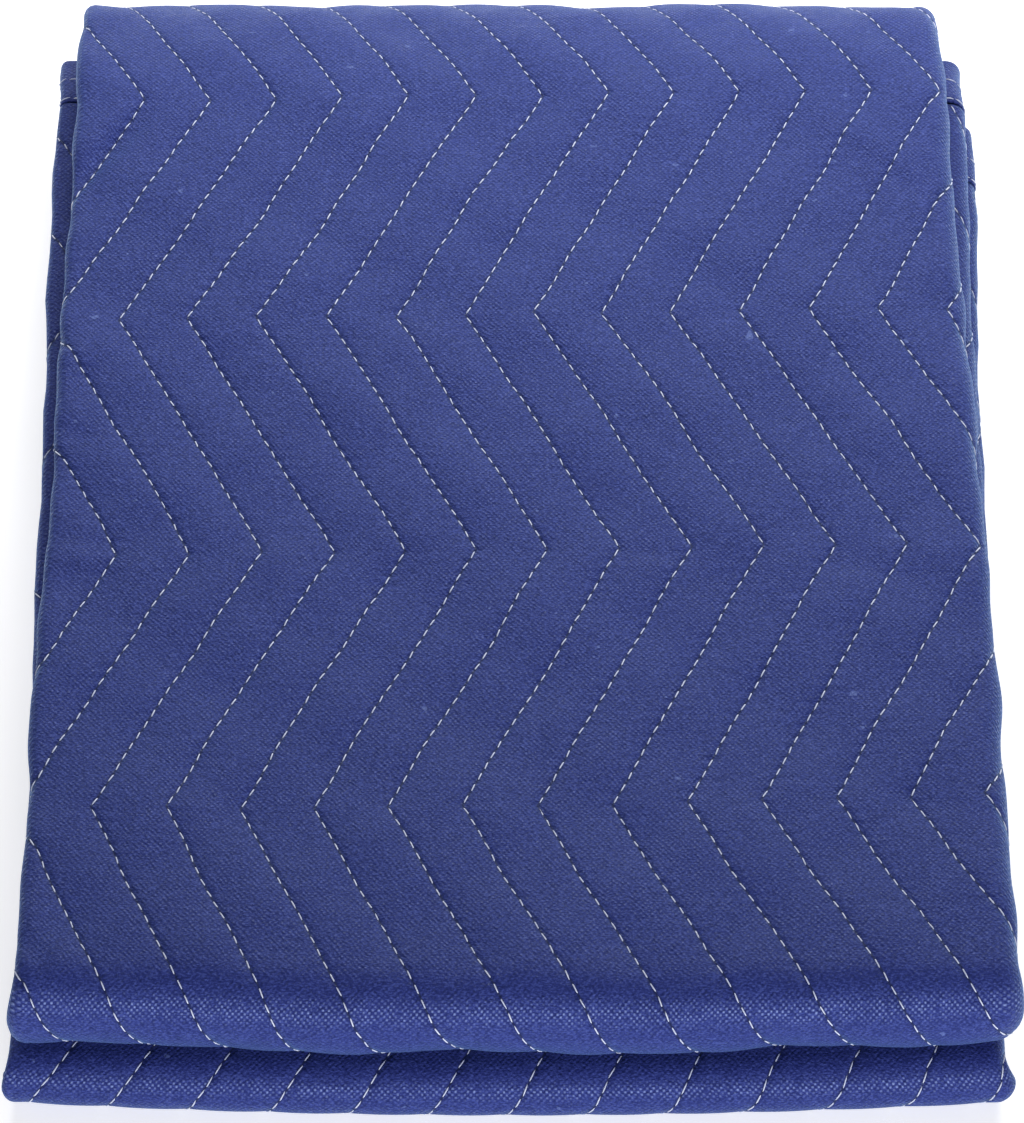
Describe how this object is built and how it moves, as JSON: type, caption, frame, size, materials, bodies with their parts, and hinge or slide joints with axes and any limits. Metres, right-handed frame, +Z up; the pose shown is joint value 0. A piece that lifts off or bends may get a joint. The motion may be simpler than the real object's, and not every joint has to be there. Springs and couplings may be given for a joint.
{
  "type": "folded moving blanket",
  "caption": "Quilted moving blanket folded flat into a block: two round lips at the front, one wrap at the back, bound ends at both sides, zigzag stitching over the cloth.",
  "frame": {"origin": "middle of the box's underside, on the surface that the folded block rests on", "axes": "+X to the right along the front lips, +Y from the two front lips to the wrap at the back, +Z up through the layers"},
  "size_m": [0.347, 0.5076, 0.0584],
  "materials": {
    "quilted_cloth": "matte blue non-woven face cloth over batting, with a fine dotted weave and zigzag quilting",
    "binding_cloth": "matte blue strip of the same cloth, folded over the end of the quilting and sewn on in two rows",
    "stitching_thread": "off-white twisted polyester thread, slightly glossy"
  },
  "bodies": {
    "root": {"quilted_sheet": "quilted_cloth", "binding_upper_end": "binding_cloth", "binding_lower_end": "binding_cloth"}
  },
  "joints": []
}
